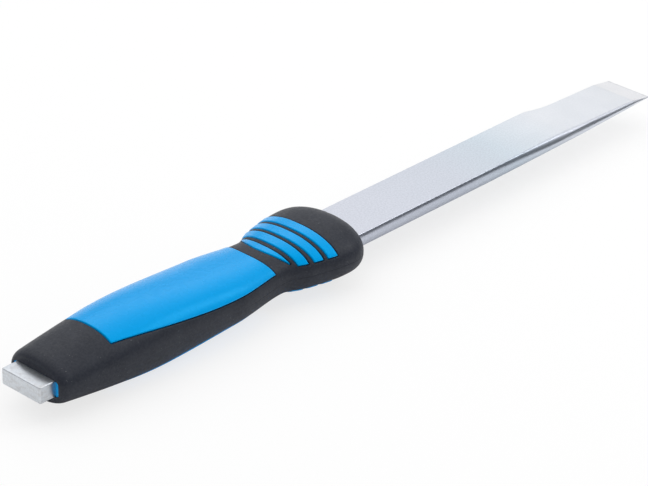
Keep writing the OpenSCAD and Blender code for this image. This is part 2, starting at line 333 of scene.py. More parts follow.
def normal_of(at, u, theta):
    """Outward normal of a sheet given by its points."""
    along = at(u + STEP, theta) - at(u, theta)
    round_it = at(u, theta + STEP) - at(u, theta - STEP)
    return unit(np.cross(round_it, along))


def flat_place(points):
    """U and angle of the place on the grip's surface nearest to points close to it."""
    d = points[:, 0] - BUTT_X
    w, h, _ = outer_size(d)
    return np.stack([d + RIM_U - RIM_LEN, np.arctan2(points[:, 2] / h, points[:, 1] / w)], -1)


def from_plan(d, y):
    """U and angle of the place on the grip's upper surface at d and y."""
    w, h, p = outer_size(d)
    z = (1 - np.minimum(1, np.abs(y / w)) ** p) ** (1 / p)
    return np.stack([d + RIM_U - RIM_LEN, np.arctan2(z, y / w)], -1)


def side_width(d, edge_heights):
    """Half width of the handle at the height of the panel's side edge."""
    w, h, p = outer_size(d)
    z = mix(*edge_heights, ease((d - PANEL_X) / PANEL_DROP))
    return w * (1 - (z / h) ** p) ** (1 / p)


def graded(count):
    """Shares of an edge's length, closer together towards both of its ends."""
    t = np.linspace(0, 1, count)
    return mix(t, 0.5 - 0.5 * np.cos(math.pi * t), CROWDING)


def closed_outline(edges):
    """Joins edges, each given as rows of distance from the butt and of Y, into one loop."""
    return np.concatenate([from_plan(*edge)[:-1] for edge in edges])


def panel_outline(edge_heights):
    """Loop round a panel, whose side edges come down between the two heights."""
    half = NECK_W / 2
    front = PANEL_X + PANEL_LEN

    def front_at(y):
        return front + PANEL_BOW * (y / half) ** 2

    corner = front
    for _ in range(CORNER_ROUNDS):
        corner = front_at(side_width(np.array(corner), edge_heights))
    side = mix(PANEL_X, corner, graded(PANEL_SIDE_PTS))
    rear_y = side_width(np.array(PANEL_X), edge_heights)
    front_y = side_width(np.array(corner), edge_heights)
    rear = mix(-rear_y, rear_y, graded(PANEL_REAR_PTS))
    ahead = mix(front_y, -front_y, graded(PANEL_FRONT_PTS))
    return closed_outline([
        (np.full(rear.shape, PANEL_X), rear),
        (side, side_width(side, edge_heights)),
        (front_at(ahead), ahead),
        (side[::-1], -side_width(side[::-1], edge_heights)),
    ])


def strip_outline(rear_edge, front_edge, half, ends, margin):
    """Loop round a strip across the handle; an edge is its distance and bow, an end its reach."""
    rear = mix(ends[0], -ends[0], graded(BAND_EDGE_PTS))
    ahead = mix(-ends[1], ends[1], graded(BAND_EDGE_PTS))
    edges = [
        (rear_edge[0] + rear_edge[1] * (rear / half) ** 2, rear),
        (front_edge[0] + front_edge[1] * (ahead / half) ** 2, ahead),
    ]
    if ends[0] != ends[1]:
        right = mix(edges[0][0][-1], edges[1][0][0], graded(BAND_END_PTS))
        width = outer_size(right)[0] - margin
        edges.insert(1, (right, -width))
        edges.append((right[::-1], width[::-1]))
    return closed_outline(edges)[::-1]


def crescent_outline(inset):
    """Loop round the pointed band."""
    half = NECK_W / 2 - CRESCENT_MARGIN - inset
    rear_edge = (CRESCENT_X, CRESCENT_BOW)
    front_edge = (CRESCENT_X + CRESCENT_W, CRESCENT_BOW - CRESCENT_W)
    return strip_outline(rear_edge, front_edge, half, (half, half), CRESCENT_MARGIN)


def band_outline(i, inset):
    """Loop round full band i, whose ends keep a margin from the handle's sides."""
    half = GUARD_W / 2
    margin = BAND_MARGIN + inset
    rear = BAND_X + i * (BAND_W + BAND_GAP)
    rear_bow = BAND_BOW * (BANDS - i) / BANDS
    long_edges = ((rear, rear_bow), (rear + BAND_W, rear_bow * BAND_TAPER))
    ends = []
    for start, bow in long_edges:
        y = half
        for _ in range(CORNER_ROUNDS):
            y = float(outer_size(np.array(start + bow * (y / half) ** 2))[0]) - margin
        ends.append(y)
    return strip_outline(*long_edges, half, ends, margin)


def offset_loop(loop, away):
    """Loop on the surface at a distance outside the given one, or inside it if negative.

    With it come the directions in which its points lie from the given loop.
    """
    points = outer_at(loop[:, 0], loop[:, 1])
    normals = normal_of(outer_at, loop[:, 0], loop[:, 1])
    ahead = unit(np.roll(points, -1, 0) - points)
    out = unit(np.cross(normals, ahead)) * loop_sign(loop)
    if away == 0:
        return loop, unit(np.roll(out, 1, 0) + out)
    places = []
    leans = []
    for i in range(len(loop)):
        first, last = out[i - 1], out[i]
        turn = math.acos(float(np.clip(first @ last, -1, 1)))
        count = 1 if turn < CORNER_TURN else 2 + int(turn / CORNER_STEP)
        for share in np.linspace(0, 1, count) if count > 1 else [0.5]:
            direction = unit(mix(first, last, share))
            places.append(points[i] + away * direction)
            leans.append(direction)
    places, leans = np.array(places), np.array(leans)
    flat = flat_place(places)
    landed = outer_at(flat[:, 0], flat[:, 1])
    gap = segment_distance(landed, points)
    keep = gap > RING_KEEP * abs(away)
    return flat[keep], leans[keep]


def loop_sign(loop):
    """1 for a loop that turns the way that makes its outer side the cross product's."""
    x, y = loop[:, 0], loop[:, 1]
    area = np.sum(x * np.roll(y, -1) - np.roll(x, -1) * y)
    return -1.0 if area < 0 else 1.0


def segment_distance(points, loop):
    """Least distance from each point to the closed polyline."""
    start = loop[None]
    along = (np.roll(loop, -1, 0) - loop)[None]
    rel = points[:, None] - start
    t = np.clip(np.sum(rel * along, -1) / np.maximum(np.sum(along * along, -1), TINY), 0, 1)
    return np.min(np.linalg.norm(rel - t[..., None] * along, axis=-1), axis=1)


def inside(points, loop):
    """Which flat points lie inside the closed loop."""
    x, y = points[:, 0][:, None], points[:, 1][:, None]
    x0, y0 = loop[:, 0][None], loop[:, 1][None]
    x1, y1 = np.roll(loop[:, 0], -1)[None], np.roll(loop[:, 1], -1)[None]
    spans = (y0 > y) != (y1 > y)
    with np.errstate(divide="ignore", invalid="ignore"):
        cross = x < (x1 - x0) * (y - y0) / (y1 - y0) + x0
    return np.sum(spans & cross, axis=1) % 2 == 1


def triangles(flat, edges, keep):
    """Triangles over flat points that respect the edges, where keep says so of their middles."""
    scaled = flat * (1, MEAN_R)
    result = delaunay_2d_cdt([tuple(p) for p in scaled], edges, [], 0, SAME_PLACE)
    found, originals = result[2], result[3]
    faces = np.array([[originals[v][0] for v in face[::-1]] for face in found])
    middles = flat[faces].mean(axis=1)
    return faces[keep(middles)]


def ring_edges(start, count):
    """Edges round a ring of points that follow each other."""
    return [(start + i, start + (i + 1) % count) for i in range(count)]


def spaced_from(points, loops, gap):
    """Which flat points keep a gap from all loops."""
    scaled = points * (1, MEAN_R)
    keep = np.ones(len(points), bool)
    for loop in loops:
        keep &= segment_distance(scaled, loop * (1, MEAN_R)) > gap
    return keep


class Layout:
    """Flat points of a sheet, with each one's rise over it and the lean of its normal."""

    def __init__(self):
        self.flat = []
        self.rise = []
        self.lean = []
        self.lean_to = []
        self.edges = []
        self.count = 0

    def add(self, flat, rise=0.0, lean=0.0, lean_to=None):
        """Adds points; the lean is in degrees, towards the directions in lean_to."""
        start = self.count
        n = len(flat)
        self.flat.append(flat)
        self.rise.append(np.broadcast_to(rise, n))
        self.lean.append(np.broadcast_to(np.radians(lean), n))
        self.lean_to.append(np.zeros((n, 3)) if lean_to is None else lean_to)
        self.count += n
        return start

    def ring(self, flat, rise, lean, lean_to):
        """Adds points that follow each other, and the edges between them."""
        start = self.add(flat, rise, lean, lean_to)
        self.edges += ring_edges(start, len(flat))
        return start

    def lay(self, shell, at, keep, facing=1):
        """Adds the sheet to a shell, with the triangles that keep wants; returns its start."""
        flat, rise = np.concatenate(self.flat), np.concatenate(self.rise)
        lean, lean_to = np.concatenate(self.lean)[:, None], np.concatenate(self.lean_to)
        normals = normal_of(at, flat[:, 0], flat[:, 1])
        placed = at(flat[:, 0], flat[:, 1]) + rise[:, None] * normals
        leaned = facing * unit(normals * np.cos(lean) + lean_to * np.sin(lean))
        start = shell.add(placed, leaned)
        shell.faces += [tuple(start + i for i in f) for f in triangles(flat, self.edges, keep)]
        return start


class Shell:
    """Collects points, faces and normals of one piece."""

    def __init__(self):
        self.points = []
        self.normals = []
        self.faces = []

    def add(self, points, normals):
        """Adds points and returns the number of the first one."""
        start = len(self.points)
        self.points.extend(points)
        self.normals.extend(np.broadcast_to(normals, np.shape(points)))
        return start

    def row(self, start, count):
        """Some of the points, from a number on."""
        return np.array(self.points[start:start + count])

    def strip(self, first, second, count, closed=False):
        """Joins two rows of points by quads."""
        for i in range(count if closed else count - 1):
            j = (i + 1) % count
            self.faces.append((first + i, first + j, second + j, second + i))

    def band(self, rows, normals):
        """Joins rows of new points by quads; each row has its own normals."""
        starts = [self.add(row, normal) for row, normal in zip(rows, normals)]
        for first, second in zip(starts, starts[1:]):
            self.strip(first, second, len(rows[0]))

    def below(self, other):
        """Adds another shell turned over below the middle plane."""
        turned = np.array((1, 1, -1))
        start = self.add(np.array(other.points) * turned, np.array(other.normals) * turned)
        self.faces += [tuple(start + i for i in face) for face in other.faces]

    def piece(self, name):
        """Makes the piece, with points in one place joined and faces turned outwards."""
        points, normals = np.array(self.points), np.array(self.normals)
        keys = {}
        rounded = np.round(points, JOIN_DIGITS) + 0.0
        index = [keys.setdefault(tuple(p), len(keys)) for p in rounded]
        places = np.zeros((len(keys), 3))
        places[index] = points
        faces = []
        corners = []
        for face in self.faces:
            face = [i for n, i in enumerate(face) if index[i] not in [index[k] for k in face[:n]]]
            if len(face) < 3:
                continue
            spread = points[face] - points[face[0]]
            flat_normal = np.cross(spread[1:-1], spread[2:]).sum(0)
            if flat_normal @ normals[face].sum(0) < 0:
                face.reverse()
            faces.append([index[i] for i in face])
            corners += [tuple(normals[i]) for i in face]
        mesh = bpy.data.meshes.new(name)
        mesh.from_pydata([tuple(p * MM) for p in places], [], faces)
        mesh.shade_smooth()
        mesh.normals_split_custom_set(corners)
        piece = bpy.data.objects.new(name, mesh)
        bpy.context.scene.collection.objects.link(piece)
        return piece


def islands(edge_heights, inset):
    """Outlines of the panel and the bands, whose ends are drawn in by the inset."""
    outlines = [panel_outline(edge_heights), crescent_outline(inset)]
    return outlines + [band_outline(i, inset) for i in range(BANDS)]


def handle_grid(first_u, rows, angles):
    """Points over half of the handle: whole rows at the rim and the nose, then inner ones."""
    ends = np.concatenate([np.linspace(first_u, RIM_U, RIM_COUNT), NOSE_ROWS])
    points = [(u, a) for u in ends for a in ANGLES]
    points += [(u, a) for u in rows for a in angles]
    points += [(u, a) for u in SIDE_ROWS[1:-1] for a in (0.0, math.pi)]
    return np.array(points)


def groove_at(flat):
    """Share of the parting line's depth at flat points, and the lean of its sides in degrees."""
    u = flat[:, 0]
    from_side = np.minimum(flat[:, 1], math.pi - flat[:, 1]) / GROOVE_TURN
    fade = np.clip((NOSE_ROWS[-1] - u) / GROOVE_FADE, 0, 1) * np.clip(u / RIM_U, 0, 1)
    fade *= mix(GROOVE_FAINT, 1, ease((u - WAIST_X) / (NECK_X - WAIST_X)))
    share = np.clip(1 - from_side, 0, 1) * fade
    return share, np.where(from_side < GROOVE_FLOOR, 0, GROOVE_LEAN * share)


def open_sheet(shell, at, grid, windows, facing=1, groove=False):
    """Adds a sheet with windows, each a list of rings; returns its start and the windows' starts."""
    loops = [window[-1][0] for window in windows]
    free = spaced_from(grid, loops, RING_GAP)
    for loop in loops:
        free &= ~inside(grid, loop)
    layout = Layout()
    kept = grid[free]
    if groove:
        share, tilt = groove_at(kept)
        layout.add(kept, -GROOVE_SINK * share**GROOVE_POW, tilt, np.tile((0.0, 0.0, -1.0), (len(kept), 1)))
    else:
        layout.add(kept)
    starts = [[layout.ring(*ring) for ring in window][0] for window in windows]

    def outside(middles):
        hidden = [inside(middles, window[0][0]) for window in windows]
        return ~np.any(hidden, axis=0)

    start = layout.lay(shell, at, outside, facing)
    return start, [start + i for i in starts]


def end_rows(shell, start):
    """The rows at both ends of a sheet."""
    last = (RIM_COUNT + len(NOSE_ROWS) - 1) * ROW
    return shell.row(start, ROW), shell.row(start + last, ROW)


def row_on_bar(row, reach, x):
    """Row of points on the steel's outline, in the directions of another row's points."""
    angle = np.arctan2(row[:, 2], row[:, 1])
    r = reach(angle)
    return np.stack([np.full(len(row), x), r * np.cos(angle), r * np.sin(angle)], -1)


def towards_bar(row):
    """Normals of a row that face the middle line of the steel."""
    return unit(row * (0, -1, -1))


def grip_half(outlines):
    """Upper half of the grip: outside with windows, their walls, inside, butt and nose."""
    shell = Shell()
    windows = []
    for outline in outlines:
        rings = []
        for away, sink, angle in GRIP_RINGS:
            loop, out = offset_loop(outline, away)
            rings.append((loop, -sink, angle, -out))
        windows.append(rings)
    grid = handle_grid(0, SIDE_ROWS[1:-1], FINE_ANGLES)
    outer_start, window_starts = open_sheet(shell, outer_at, grid, windows, groove=True)
    feet = [[(rings[0][0], 0.0, 0.0, rings[0][3])] for rings in windows]
    grid = handle_grid(0, SIDE_ROWS[2:-2:3], COARSE_ANGLES)
    inner_start, _ = open_sheet(shell, core_at, grid, feet, facing=-1)
    for rings, start in zip(windows, window_starts):
        loop, _, _, into_gap = rings[0]
        foot = shell.add(core_at(loop[:, 0], loop[:, 1]), into_gap)
        shell.strip(start, foot, len(loop), closed=True)
    butt, nose_tip = end_rows(shell, outer_start)
    inner_butt, inner_tip = end_rows(shell, inner_start)
    shell.band([butt, inner_butt], [BACKWARD, BACKWARD])
    tunnel = row_on_bar(inner_tip, blade_reach, CORE_FRONT)
    shell.band([nose_tip, tunnel], [towards_bar(nose_tip), towards_bar(tunnel)])
    shell.band([tunnel, inner_tip], [BACKWARD, BACKWARD])
    return shell


def core_half(outlines):
    """Upper half of the core: islands, their sides, the sheet between them, ends and slot."""
    shell = Shell()
    for outline in outlines:
        layout = Layout()
        rings = []
        for away, rise, angle in ISLAND_RINGS:
            loop, out = offset_loop(outline, -away)
            rings.append((loop, rise, angle, out))
        starts = [layout.ring(*ring) for ring in rings]
        low, high = outline.min(0), outline.max(0)
        us = np.arange(low[0], high[0], GRID_U)
        vs = np.arange(low[1], high[1], GRID_V / MEAN_R)
        grid = np.array([(u, v) for u in us for v in vs])
        grid = grid[inside(grid, rings[-1][0])]
        layout.add(grid[spaced_from(grid, [rings[-1][0]], RING_GAP)], CROWN)
        top = layout.lay(shell, outer_at, lambda middles: inside(middles, outline))
        loop, _, _, out = rings[0]
        foot = shell.add(core_at(loop[:, 0], loop[:, 1]), out)
        shell.strip(top + starts[0], foot, len(loop), closed=True)
    feet = [[(offset_loop(outline, 0)[0], 0.0, 0.0, None)] for outline in outlines]
    grid = handle_grid(INSET_U, SIDE_ROWS[2:-2:3], COARSE_ANGLES)
    base, _ = open_sheet(shell, core_at, grid, feet)
    end, tip = end_rows(shell, base)
    slot = row_on_bar(end, tang_reach, BUTT_X + CORE_INSET)
    shell.band([end, slot], [BACKWARD, BACKWARD])
    tube = [slot, row_on_bar(end, tang_reach, SEAT_X - SLOT_EASE)]
    tube += [row_on_bar(tip, blade_reach, SEAT_X), row_on_bar(tip, blade_reach, CORE_FRONT)]
    shell.band(tube, [towards_bar(row) for row in tube])
    shell.band([tube[-1], tip], [FORWARD, FORWARD])
    return shell


def swelled(z):
    """Half width of the blade at a height, on the arc of its sides."""
    return BLADE_W / 2 + SIDE_SWELL - SWELL_R + np.sqrt(SWELL_R**2 - z**2)


def far_limit(x):
    """Reach of the blade's far side: a shoulder and a hollow lead to the narrow front."""
    side, front = BLADE_W / 2 + SIDE_SWELL, BLADE_W / 2 - FRONT_CUT
    turn = math.acos(1 - (side - front) / (HOLLOW_R + SHOULDER_R))
    run_out = (HOLLOW_R + SHOULDER_R) * math.sin(turn)
    ahead = x - FRONT_X
    if ahead <= 0:
        return side
    if ahead < SHOULDER_R * math.sin(turn):
        return side - SHOULDER_R + math.sqrt(SHOULDER_R**2 - ahead**2)
    if ahead < run_out:
        return front + HOLLOW_R - math.sqrt(HOLLOW_R**2 - (run_out - ahead) ** 2)
    return front


def near_limit(x):
    """Reach of the blade's near side, which straightens towards the tip."""
    return BLADE_W / 2 + SIDE_SWELL * min(1, (OVERALL_LEN - x) / (OVERALL_LEN - FRONT_X))


def blade_heights(x):
    """Heights of the blade's upper and lower face."""
    head, edge = BLADE_T / 2 - TOP_FALL, BACK_RISE - BLADE_T / 2 + EDGE_LAND
    top = np.interp(x, [FRONT_X, BEVEL_X, OVERALL_LEN], [BLADE_T / 2, head, edge])
    return top, np.interp(x, [BACK_X, OVERALL_LEN], [-BLADE_T / 2, edge - EDGE_LAND])


def side_profile(top, bottom, top_r, low_r, width_at):
    """Heights and half widths down one side of the steel."""
    high = top - top_r * (1 - np.cos(EDGE_TURNS))
    low = (bottom + low_r * (1 - np.cos(EDGE_TURNS)))[::-1]
    z = np.concatenate([high, mix(high[-1], low[0], SIDE_SHARES), low])
    eased = [top_r * (1 - np.sin(EDGE_TURNS)), 0 * SIDE_SHARES, low_r * (1 - np.sin(EDGE_TURNS[::-1]))]
    return z, width_at(z) - np.concatenate(eased)


def section_ring(x, near, far):
    """Points round a section: down the near side, below, up the far side and across the top."""
    side = [np.stack([np.full(len(z), x), sign * y, z], -1) for sign, (z, y) in ((-1, near), (1, far))]
    low = [mix(side[0][-1], side[1][-1], share) for share in FACE_SHARES]
    high = [mix(side[1][0], side[0][0], share) for share in FACE_SHARES]
    return np.concatenate([side[0], low, side[1][::-1], high])


def tang_ring(x, inset):
    """Section of the tang, drawn in by an inset near the strike face."""
    half_w, half_t = TANG_W / 2 - inset, TANG_T / 2 - inset
    side = side_profile(half_t, -half_t, TANG_CHAMFER, TANG_CHAMFER, lambda z: np.full(z.shape, half_w))
    return section_ring(x, side, side)


def blade_ring(x):
    """Section of the blade."""
    top, bottom = blade_heights(x)
    half = (top - bottom) / 2
    crisp = min(CRISP_R, EDGE_MOST * half)
    wear = ease((x - WORN_FROM) / WORN_LEN)
    worn = min(mix(CRISP_R, WORN_R, wear), EDGE_MOST * half)
    slope = WORN_SLOPE * wear

    def near_width(z):
        above = z - mix(bottom, top, WORN_SHARE)
        worn_off = slope * (above + np.hypot(above, WORN_BEND)) / 2
        return np.minimum(swelled(z), near_limit(x)) - worn_off

    near = side_profile(top, bottom, worn, crisp, near_width)
    far = side_profile(top, bottom, crisp, crisp, lambda z: np.minimum(swelled(z), far_limit(x)))
    return section_ring(x, near, far)


def steel_bar():
    """Tang, shoulders and blade as one skin over their sections."""
    rings = [
        tang_ring(TANG_CHAMFER * (1 - math.cos(turn)), TANG_CHAMFER * (1 - math.sin(turn)))
        for turn in EDGE_TURNS
    ]
    rings += [tang_ring(x, 0) for x in TANG_ROWS]
    blade_xs = []
    for start, end, count in BLADE_ROWS:
        blade_xs += [x for x in np.linspace(start, end, count) if not blade_xs or x > blade_xs[-1]]
    rings += [blade_ring(x) for x in blade_xs]
    count = len(rings[0])
    points = np.concatenate(rings)
    faces = []
    for i in range(len(rings) - 1):
        for k in range(count):
            j = (k + 1) % count
            faces.append((i * count + k, (i + 1) * count + k, (i + 1) * count + j, i * count + j))
    faces.append(tuple(range(count)))
    faces.append(tuple(len(points) - 1 - k for k in range(count)))
    shell = Shell()
    shell.add(points, face_weighted(points, faces))
    shell.faces = faces
    return shell


def face_weighted(points, faces):
    """Normals of points, in which large faces count for more."""
    normals = np.zeros(points.shape)
    for face in faces:
        spread = points[list(face)] - points[face[0]]
        total = np.cross(spread[1:-1], spread[2:]).sum(0)
        for i in face:
            normals[i] += total
    return unit(normals)


def build_pieces():
    """The three pieces, each in place of its solid and riding on the part's one body."""
    upper, under = islands(PANEL_EDGES, 0), islands(UNDER_EDGES, UNDER_INSET)
    made = {}
    for node, half in (("grip", grip_half), ("core", core_half)):
        shell = half(upper)
        shell.below(half(under))
        made[node] = shell
    made["blade"] = steel_bar()
    names = {"grip": "soft_grip_moulding", "core": "hard_core_moulding", "blade": "steel_bar"}
    pieces = {}
    for node, shell in made.items():
        piece = shell.piece(names[node])
        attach(piece, "root")
        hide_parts(node)
        pieces[node] = piece
    return pieces


pieces = build_pieces()

WHITE = (1, 1, 1, 1)


def new_material(name):
    """An empty material: its node tree and its main shader."""
    material = bpy.data.materials.new(name)
    material.use_nodes = True
    return material, material.node_tree, material.node_tree.nodes["Principled BSDF"]


def node(tree, kind, **values):
    """Adds a node to a tree and sets the node's own values."""
    made = tree.nodes.new(kind)
    for key, value in values.items():
        setattr(made, key, value)
    return made


def grain(tree, place, scale, detail=2.0):
    """Fine noise over the surface, from 0 to 1; the scale counts features per metre."""
    noise = node(tree, "ShaderNodeTexNoise")
    noise.inputs["Scale"].default_value = scale
    noise.inputs["Detail"].default_value = detail
    tree.links.new(place, noise.inputs["Vector"])
    return noise.outputs["Fac"]


def patches(tree, noise, low, high, most):
    """Share that a noise gives: nothing up to the low value, and the most from the high one."""
    return span(tree, noise, low, high, 0, most)


def span(tree, source, low, high, to_low, to_high):
    """Maps a value from one span to another, held at its ends."""
    mapped = node(tree, "ShaderNodeMapRange")
    for name, value in (("From Min", low), ("From Max", high), ("To Min", to_low), ("To Max", to_high)):
        mapped.inputs[name].default_value = value
    tree.links.new(source, mapped.inputs["Value"])
    return mapped.outputs["Result"]


def ramp(tree, source, stops):
    """Colour ramp over a value, from pairs of place and colour."""
    made = node(tree, "ShaderNodeValToRGB")
    elements = made.color_ramp.elements
    while len(elements) < len(stops):
        elements.new(0.5)
    for element, (place, colour) in zip(elements, stops):
        element.position = place
        element.color = (*colour, 1)
    tree.links.new(source, made.inputs["Fac"])
    return made.outputs["Color"]


def tinted(tree, colour, share, other, blend="MIX"):
    """Mixes two colours, sockets or values, by a share."""
    made = node(tree, "ShaderNodeMix", data_type="RGBA", blend_type=blend)
    for socket, value in ((made.inputs[0], share), (made.inputs[6], colour), (made.inputs[7], other)):
        if isinstance(value, bpy.types.NodeSocket):
            tree.links.new(value, socket)
        else:
            socket.default_value = value
    return made.outputs[2]


def bump(tree, shader, height, distance, strength=1.0, below=None):
    """Roughens the shader's normal by a height; the distance is in metres."""
    made = node(tree, "ShaderNodeBump")
    made.inputs["Distance"].default_value = distance
    made.inputs["Strength"].default_value = strength
    tree.links.new(height, made.inputs["Height"])
    if below is not None:
        tree.links.new(below, made.inputs["Normal"])
    tree.links.new(made.outputs["Normal"], shader.inputs["Normal"])
    return made.outputs["Normal"]


def stretched(tree, place, scale):
    """Coordinates with a scale of their own along each axis, for grain that has a direction."""
    made = node(tree, "ShaderNodeMapping")
    made.inputs["Scale"].default_value = scale
    tree.links.new(place, made.inputs["Vector"])
    return made.outputs["Vector"]


def times(tree, first, second):
    """Product of two values."""
    made = node(tree, "ShaderNodeMath", operation="MULTIPLY")
    tree.links.new(first, made.inputs[0])
    tree.links.new(second, made.inputs[1])
    return made.outputs[0]


# The steel's colour at places along it, in millimetres from the strike face; the bevel's near white is
# partly its ground finish and partly painted light
STEEL_COLOURS_AND_BEVEL_LIGHT = [
    (0, (0.68, 0.71, 0.745)),
    (136, (0.72, 0.735, 0.80)),
    (185, (0.70, 0.73, 0.795)),
    (212, (0.695, 0.77, 0.83)),
    (240, (0.86, 0.88, 0.915)),
    (262, (0.865, 0.885, 0.92)),
    (BEVEL_X - 0.3, (0.855, 0.875, 0.905)),
    # Painted light: the bevel's near white also stands in for the bright room that its face reflects
    (BEVEL_X + 0.3, (0.985, 0.985, 1.0)),
]
# Wide clouds, the fine speckle of blasting and the scuffs of the striking end, whose warm tint is a
# painted reflection: features per metre, greatest share and colour
CLOUD_GRAIN, CLOUD_MOST, CLOUD_COLOUR = 90, 0.10, (0.55, 0.60, 0.66, 1)
SPECKLE_GRAIN, SPECKLE_MOST, SPECKLE_COLOUR = 1700, 0.30, (0.42, 0.45, 0.50, 1)
SCUFF_AND_REFLECTION_GRAIN, SCUFF_AND_REFLECTION_MOST, SCUFF_AND_WARM_REFLECTION_COLOUR = (500, 420, 1100), 0.30, (0.36, 0.33, 0.30, 1)
# Shares of the length between which the speckle fades to what the ground front keeps
BLAST_FADE, BLAST_KEPT = (0.72, 0.86), 0.2
# Where the scuffs and their painted warm reflection start, and from where to the strike face they are full
STRUCK_LEN, STRUCK_FULL = 7.0, 4.2
# Upward parts of the normal between which a face counts as a side and as the top
SIDE_TO_TOP = (0.75, 0.97)
# Painted shade: the sides' colour is multiplied by this, darker than the top because of how the light
# falls on them
SIDE_SHADE_COLOUR = (0.74, 0.76, 0.80, 1)
# Roughness of the striking end and of the sides, and of the top between shares of the length
STRUCK_ROUGH, SIDE_ROUGH = (0.34, 0.34, 0.34, 1), (0.28, 0.28, 0.28, 1)
TOP_ROUGH_FADE, TOP_ROUGH = (0.7, 0.95), (0.50, 0.46)
# Relief in metres and its strength: pits, and fine lines along the steel
PIT_GRAIN, PIT_DEPTH, PIT_STRENGTH = 3200, 1.2e-5, 0.5
LINE_GRAIN, LINE_DEPTH, LINE_STRENGTH = (60, 5200, 60), 6e-6, 0.35


def steel_material():
    """Blasted steel, smoother and brighter towards the ground front and the bevel, whose near white is
    partly painted light; painted shade darkens its sides, and the striking end's scuffs carry a painted
    warm reflection.
    """
    material, tree, shader = new_material("steel")
    place = node(tree, "ShaderNodeTexCoord").outputs["Object"]
    axes = node(tree, "ShaderNodeSeparateXYZ")
    tree.links.new(place, axes.inputs[0])
    along = span(tree, axes.outputs["X"], 0, OVERALL_LEN * MM, 0, 1)
    colour = ramp(tree, along, [(x / OVERALL_LEN, shade) for x, shade in STEEL_COLOURS_AND_BEVEL_LIGHT])
    clouds = patches(tree, grain(tree, place, CLOUD_GRAIN), 0.3, 0.7, CLOUD_MOST)
    colour = tinted(tree, colour, clouds, CLOUD_COLOUR)
    speckle = patches(tree, grain(tree, place, SPECKLE_GRAIN), 0.35, 0.65, SPECKLE_MOST)
    blasted = span(tree, along, *BLAST_FADE, 1, BLAST_KEPT)
    colour = tinted(tree, colour, times(tree, speckle, blasted), SPECKLE_COLOUR)
    struck = span(tree, axes.outputs["X"], STRUCK_LEN * MM, STRUCK_FULL * MM, 0, 1)
    # Scuffs at the striking end, tinted warm: partly real scuffs, partly a painted warm reflection
    scuffs_and_reflection = patches(tree, grain(tree, stretched(tree, place, SCUFF_AND_REFLECTION_GRAIN), 1.0, 3), 0.45, 0.7, SCUFF_AND_REFLECTION_MOST)
    colour = tinted(tree, colour, times(tree, struck, scuffs_and_reflection), SCUFF_AND_WARM_REFLECTION_COLOUR)
    # Painted shade: faces that turn from the top down to the sides are darkened, except at the striking
    # end
    facing = node(tree, "ShaderNodeSeparateXYZ")
    tree.links.new(node(tree, "ShaderNodeNewGeometry").outputs["Normal"], facing.inputs[0])
    upward = span(tree, facing.outputs["Z"], *SIDE_TO_TOP, 0, 1)
    shaded_sides = tinted(tree, colour, 1.0, SIDE_SHADE_COLOUR, "MULTIPLY")
    colour = tinted(tree, shaded_sides, tinted(tree, upward, struck, WHITE), colour)
    tree.links.new(colour, shader.inputs["Base Color"])
    shader.inputs["Metallic"].default_value = 1.0
    rough = tinted(tree, SIDE_ROUGH, upward, span(tree, along, *TOP_ROUGH_FADE, *TOP_ROUGH))
    tree.links.new(tinted(tree, rough, struck, STRUCK_ROUGH), shader.inputs["Roughness"])
    pitted = bump(tree, shader, grain(tree, place, PIT_GRAIN, 3), PIT_DEPTH, PIT_STRENGTH)
    lines = grain(tree, stretched(tree, place, LINE_GRAIN), 1.0)
    bump(tree, shader, lines, LINE_DEPTH, LINE_STRENGTH, pitted)
    return material


# The plastic's two blues, how much of the second shows, its roughness, and its shine
BLUE, DEEP_BLUE, DEEP_MOST = (0.0, 0.37, 0.86, 1), (0.0, 0.35, 0.82, 1), 0.18
BLUE_GRAIN, BLUE_ROUGH_GRAIN, BLUE_ROUGH = 60, 300, (0.24, 0.30)
BLUE_SHINE, BLUE_SHINE_TINT = 0.45, (0.0, 0.6, 1.0, 1)
# Depth in metres and strength of its unevenness
BLUE_RELIEF, BLUE_RELIEF_STRENGTH = 1e-5, 0.5


def plastic_material():
    """Glossy blue moulding with the faint unevenness of a moulded face."""
    material, tree, shader = new_material("blue_plastic")
    place = node(tree, "ShaderNodeTexCoord").outputs["Object"]
    deeper = patches(tree, grain(tree, place, BLUE_GRAIN), 0.3, 0.7, DEEP_MOST)
    tree.links.new(tinted(tree, BLUE, deeper, DEEP_BLUE), shader.inputs["Base Color"])
    rough = span(tree, grain(tree, place, BLUE_ROUGH_GRAIN), 0.3, 0.7, *BLUE_ROUGH)
    tree.links.new(rough, shader.inputs["Roughness"])
    shader.inputs["Specular IOR Level"].default_value = BLUE_SHINE
    shader.inputs["Specular Tint"].default_value = BLUE_SHINE_TINT
    bump(tree, shader, grain(tree, place, BLUE_GRAIN, 1), BLUE_RELIEF, BLUE_RELIEF_STRENGTH)
    return material


# The grip's two blacks in wide patches, its fine grain and its dust: features per metre,
# greatest share and colour
GRIP_BLACK, GRIP_GREY, GRIP_PATCHES = (0.012, 0.015, 0.025, 1), (0.019, 0.023, 0.035, 1), 160
FINE_GRAIN, FINE_MOST, FINE_COLOUR = 1500, 0.30, (0.042, 0.047, 0.060, 1)
DUST_GRAIN, DUST_MOST, DUST_COLOUR = 1300, 0.35, (0.16, 0.17, 0.18, 1)
GRIP_ROUGH_GRAIN, GRIP_ROUGH, GRIP_SHINE = 900, (0.40, 0.52), 0.3
# Features per metre, depth in metres and strength of its relief
GRIP_RELIEF_GRAIN, GRIP_RELIEF, GRIP_RELIEF_STRENGTH = 2600, 4e-5, 0.5


